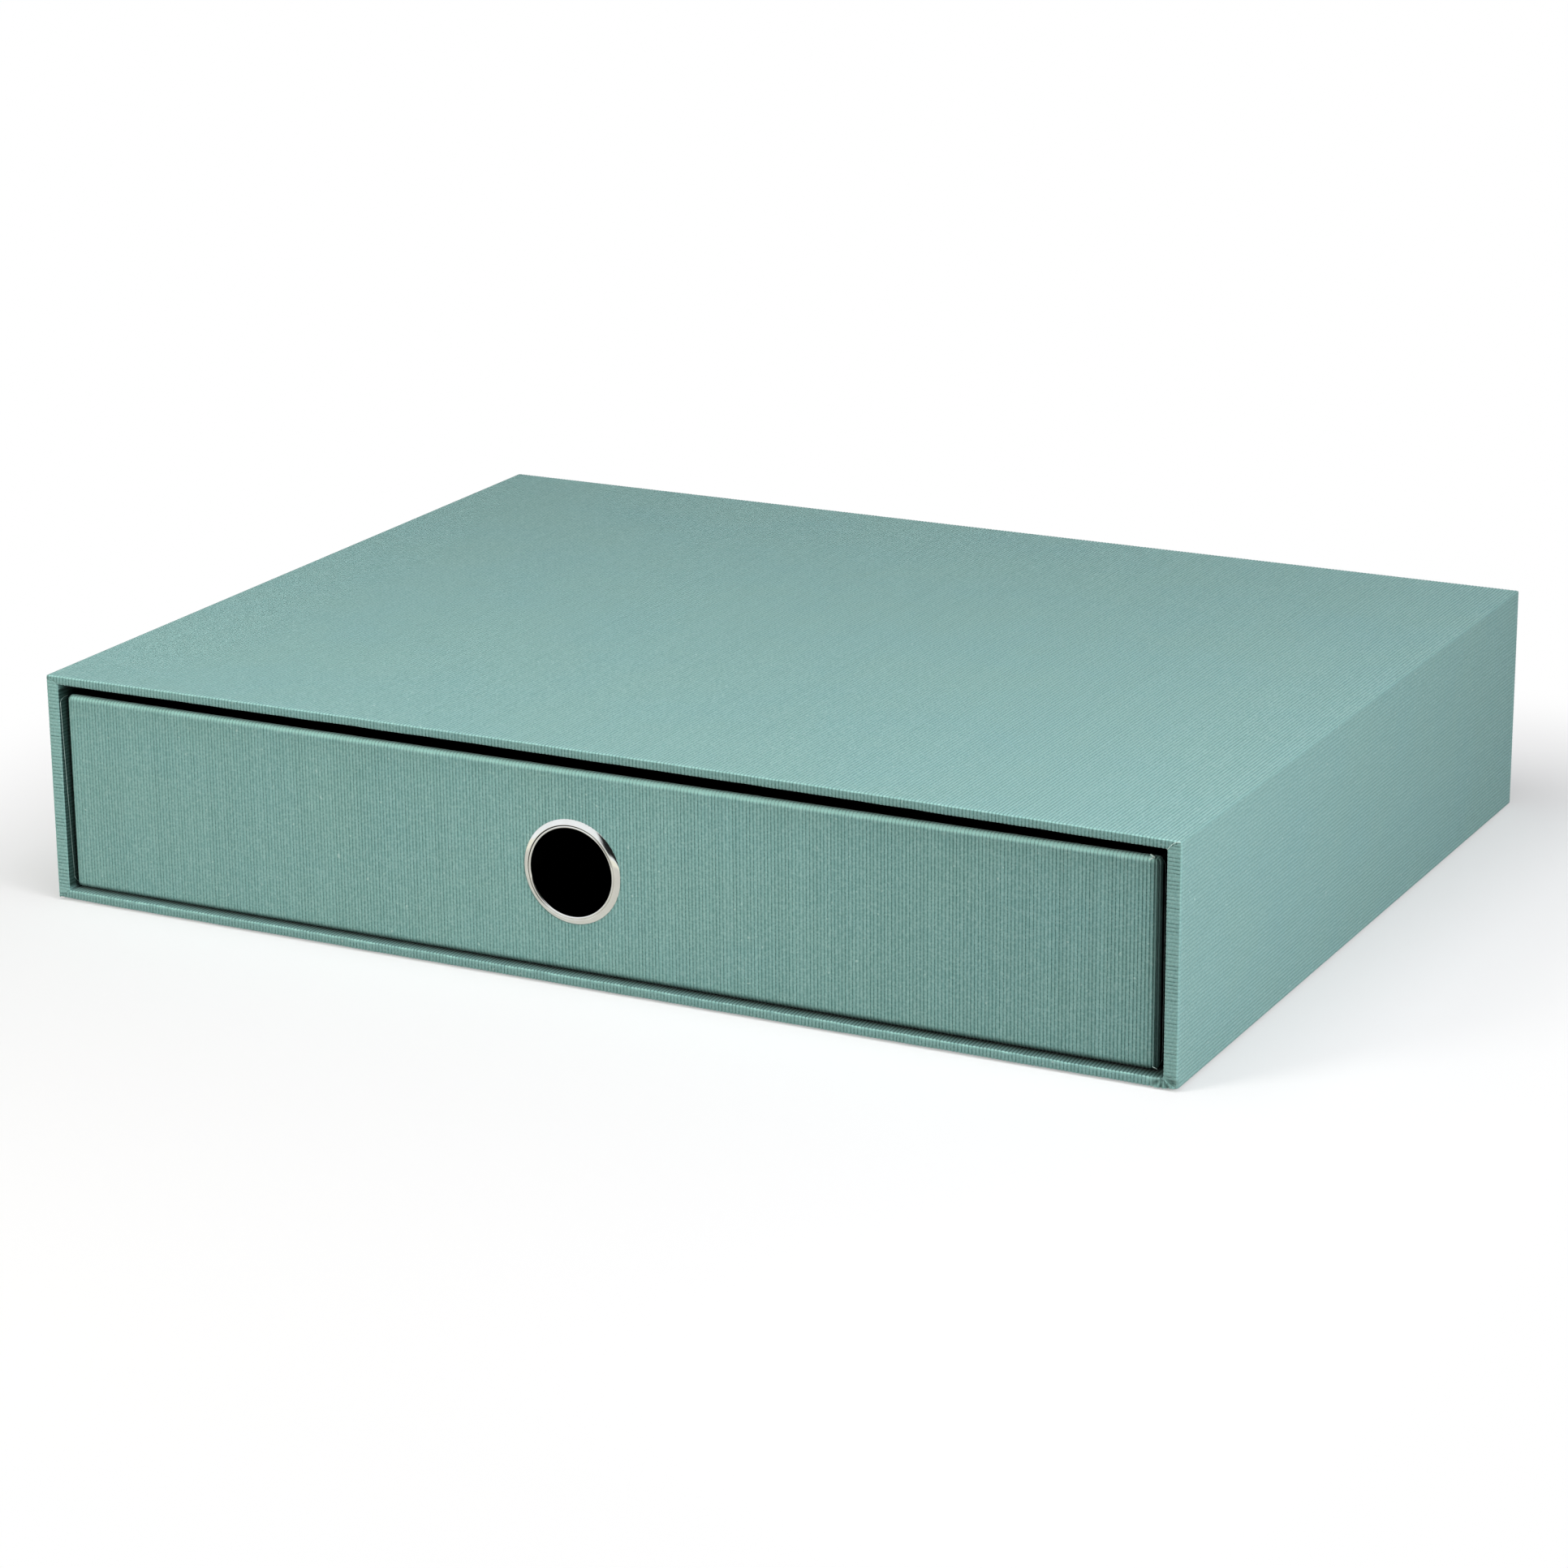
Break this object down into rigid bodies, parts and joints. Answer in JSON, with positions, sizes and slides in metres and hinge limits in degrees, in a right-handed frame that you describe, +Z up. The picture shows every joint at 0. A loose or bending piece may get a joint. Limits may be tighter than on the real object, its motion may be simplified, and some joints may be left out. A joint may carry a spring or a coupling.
{
  "type": "file box with drawer",
  "caption": "Low rigid-board file box covered in corded paper, open at the front, with a paper-lined tray drawer pulled by a round metal finger ring.",
  "frame": {"origin": "on the ground under the middle of the box", "axes": "+X to the right seen from the drawer's front, +Y to the back, +Z up"},
  "size_m": [0.335, 0.257, 0.0658],
  "materials": {
    "corded_paper": "matte",
    "black_paper": "matte",
    "grey_board": "matte",
    "nickel": "polished"
  },
  "bodies": {
    "case": {"case_top_board": "grey_board", "case_bottom_board": "grey_board", "case_left_outer_board": "grey_board", "case_left_inner_board": "grey_board", "case_right_outer_board": "grey_board", "case_right_inner_board": "grey_board", "case_back_board": "grey_board", "case_wrap": "corded_paper", "case_back_sheet": "corded_paper", "case_base_sheet": "corded_paper", "case_lining": "black_paper"},
    "drawer": {"panel_board": "grey_board", "panel_cover": "corded_paper", "tray_left_board": "grey_board", "tray_right_board": "grey_board", "tray_front_board": "grey_board", "tray_back_board": "grey_board", "tray_bottom_board": "grey_board", "tray_wrap": "black_paper", "tray_lining": "black_paper", "tray_base_sheet": "black_paper", "finger_ring": "nickel", "finger_ring_washer": "nickel"}
  },
  "joints": [
    {"name": "drawer_slide", "type": "slide", "parent": "case", "child": "drawer", "axis": [0, -1, 0], "range_m": [0, 0.2]}
  ]
}
